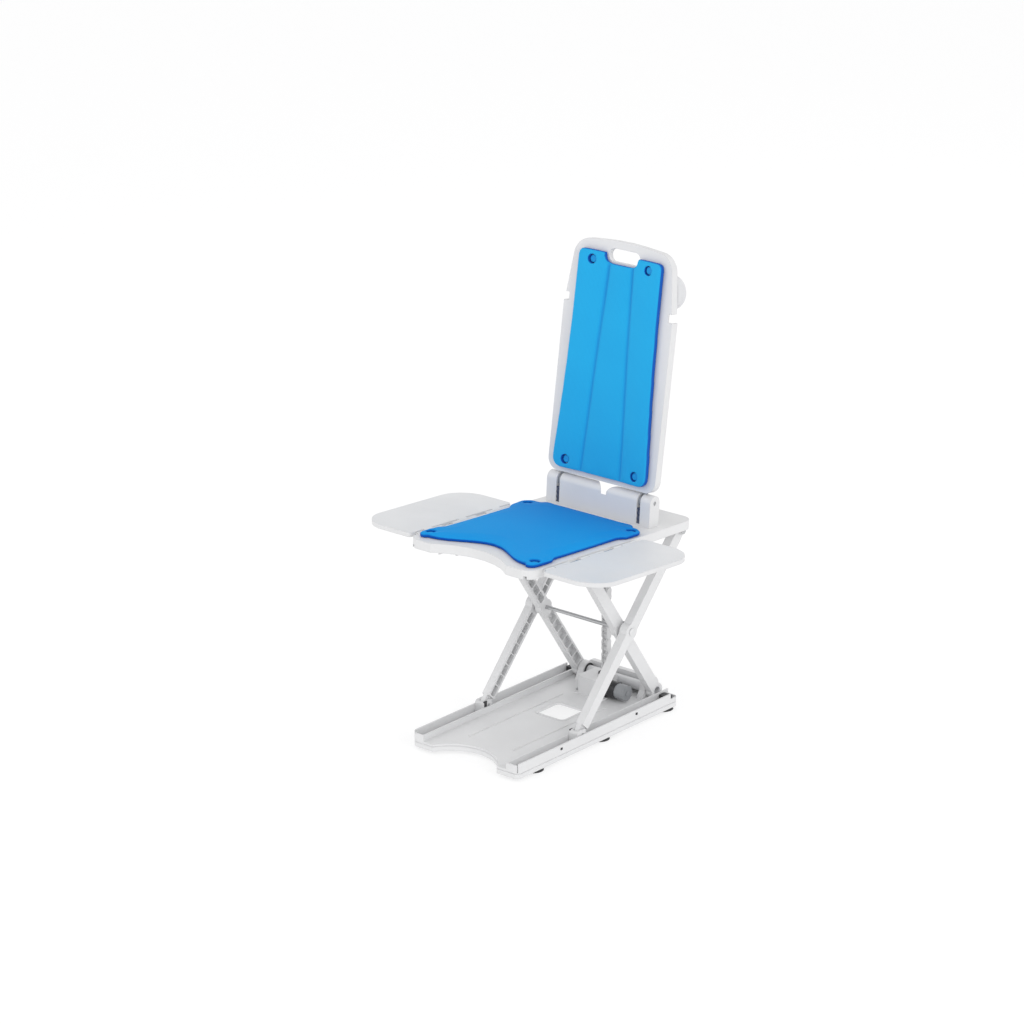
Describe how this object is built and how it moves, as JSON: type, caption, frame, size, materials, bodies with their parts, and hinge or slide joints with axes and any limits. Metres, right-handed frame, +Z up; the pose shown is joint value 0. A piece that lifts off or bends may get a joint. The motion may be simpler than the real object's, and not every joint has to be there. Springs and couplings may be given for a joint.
{
  "type": "bath lift",
  "caption": "Powered bath seat lift on a scissor frame: padded seat with folding side flaps, reclining padded backrest, suction-cup base and handset.",
  "frame": {"origin": "middle of the overall box, at the level of the bath floor", "axes": "+Z up, +Y towards the backrest, +X to the sitter's left"},
  "size_m": [0.688, 0.6107, 1.0812],
  "materials": {
    "white_plastic": "fine satin moulded plastic",
    "blue_pad": "soft closed-cell foam cover, matte",
    "blue_plastic": "moulded plug",
    "dark_plastic": "moulded, low sheen",
    "cup_rubber": "soft rubber",
    "motor_paint": "semi-gloss paint",
    "grey_plastic": "moulded",
    "steel": "turned and plated",
    "tube_paint": "powder coat",
    "chain_plastic": "moulded links",
    "handset_plastic": "moulded casing",
    "button_blue": "moulded key",
    "button_red": "moulded key"
  },
  "bodies": {
    "base": {"base_pan": "white_plastic", "suction_cups": "cup_rubber", "bearing_bushes": "dark_plastic", "end_stops": "dark_plastic", "drive_housing": "white_plastic", "drive_motor": "motor_paint", "motor_cap": "grey_plastic", "chain_guide": "dark_plastic", "housing_screws": "steel", "lead_socket": "dark_plastic", "thrust_chain": "chain_plastic"},
    "sprocket": {"drive_sprocket": "steel", "sprocket_shaft": "steel"},
    "inner_arms": {"left_inner_arm": "white_plastic", "right_inner_arm": "white_plastic", "torque_tube": "tube_paint", "centre_shaft": "steel", "shaft_caps": "white_plastic", "upper_slide_pins": "steel"},
    "outer_arms": {"left_outer_arm": "white_plastic", "right_outer_arm": "white_plastic", "foot_pins": "steel"},
    "lower_shoes": {"left_lower_shoe": "chain_plastic", "right_lower_shoe": "chain_plastic", "shoe_glides": "dark_plastic"},
    "upper_shoes": {"left_upper_shoe": "dark_plastic", "right_upper_shoe": "dark_plastic"},
    "seat": {"seat_plate": "white_plastic", "seat_pad": "blue_pad", "seat_plugs": "blue_plastic", "hinge_block": "white_plastic", "hinge_pins": "steel", "rear_pins": "steel", "flap_rods": "steel", "chain_anchor": "grey_plastic"},
    "left_flap": {"left_flap": "white_plastic"},
    "right_flap": {"right_flap": "white_plastic"},
    "backrest": {"back_shell": "white_plastic", "back_pad": "blue_pad", "back_plugs": "blue_plastic", "left_hinge_arm": "grey_plastic", "right_hinge_arm": "grey_plastic", "handset_holder": "white_plastic", "handset_front": "handset_plastic", "handset_rear": "handset_plastic", "battery_pack": "dark_plastic", "lead_inlet": "dark_plastic"},
    "up_button": {"up_button": "button_blue"},
    "down_button": {"down_button": "button_blue"},
    "stop_button": {"stop_button": "button_red"}
  },
  "joints": [
    {"name": "lift", "type": "hinge", "parent": "base", "child": "inner_arms", "pos_m": [0, 0.23264, 0.044], "axis": [1, 0, 0], "range_deg": [0, 54.1], "deforming": ["thrust_chain"]},
    {"name": "arm_cross", "type": "hinge", "parent": "inner_arms", "child": "outer_arms", "pos_m": [0, 0.10013, 0.23395], "axis": [1, 0, 0], "range_deg": [-100.4, 0]},
    {"name": "seat_tilt", "type": "hinge", "parent": "outer_arms", "child": "seat", "pos_m": [0, 0.27816, 0.42889], "axis": [1, 0, 0], "range_deg": [0, 50.2]},
    {"name": "lower_shoe_turn", "type": "hinge", "parent": "outer_arms", "child": "lower_shoes", "pos_m": [0, -0.07608, 0.041], "axis": [1, 0, 0], "range_deg": [0, 46.3]},
    {"name": "upper_shoe_turn", "type": "hinge", "parent": "inner_arms", "child": "upper_shoes", "pos_m": [0, -0.05051, 0.44989], "axis": [1, 0, 0], "range_deg": [-50.4, 0]},
    {"name": "sprocket_turn", "type": "hinge", "parent": "base", "child": "sprocket", "pos_m": [0, 0.16614, 0.048], "axis": [1, 0, 0], "range_deg": [-1520, 0]},
    {"name": "left_flap_fold", "type": "hinge", "parent": "seat", "child": "left_flap", "pos_m": [-0.1845, -0.08965, 0.47494], "axis": [0, 0.998, -0.0638], "range_deg": [0, 95]},
    {"name": "right_flap_fold", "type": "hinge", "parent": "seat", "child": "right_flap", "pos_m": [0.1845, -0.08965, 0.47494], "axis": [0, -0.998, 0.0638], "range_deg": [0, 95]},
    {"name": "back_recline", "type": "hinge", "parent": "seat", "child": "backrest", "pos_m": [0, 0.17773, 0.51948], "axis": [1, 0, 0], "range_deg": [-32, 84]},
    {"name": "up_button_press", "type": "slide", "parent": "backrest", "child": "up_button", "axis": [0, -0.9886, 0.1505], "range_m": [0, 0.0018], "stiffness_N_per_m": 900, "springref_m": -0.0008},
    {"name": "down_button_press", "type": "slide", "parent": "backrest", "child": "down_button", "axis": [0, -0.9886, 0.1505], "range_m": [0, 0.0018], "stiffness_N_per_m": 900, "springref_m": -0.0008},
    {"name": "stop_button_press", "type": "slide", "parent": "backrest", "child": "stop_button", "axis": [0, -0.9886, 0.1505], "range_m": [0, 0.0018], "stiffness_N_per_m": 900, "springref_m": -0.0008}
  ],
  "couplings": [
    {"joint": "arm_cross", "follows": "lift", "ratio": -1.8512},
    {"joint": "seat_tilt", "follows": "lift", "ratio": 0.92389},
    {"joint": "lower_shoe_turn", "follows": "lift", "ratio": 0.85124},
    {"joint": "upper_shoe_turn", "follows": "lift", "ratio": -0.92735},
    {"joint": "sprocket_turn", "follows": "lift", "ratio": -28}
  ]
}
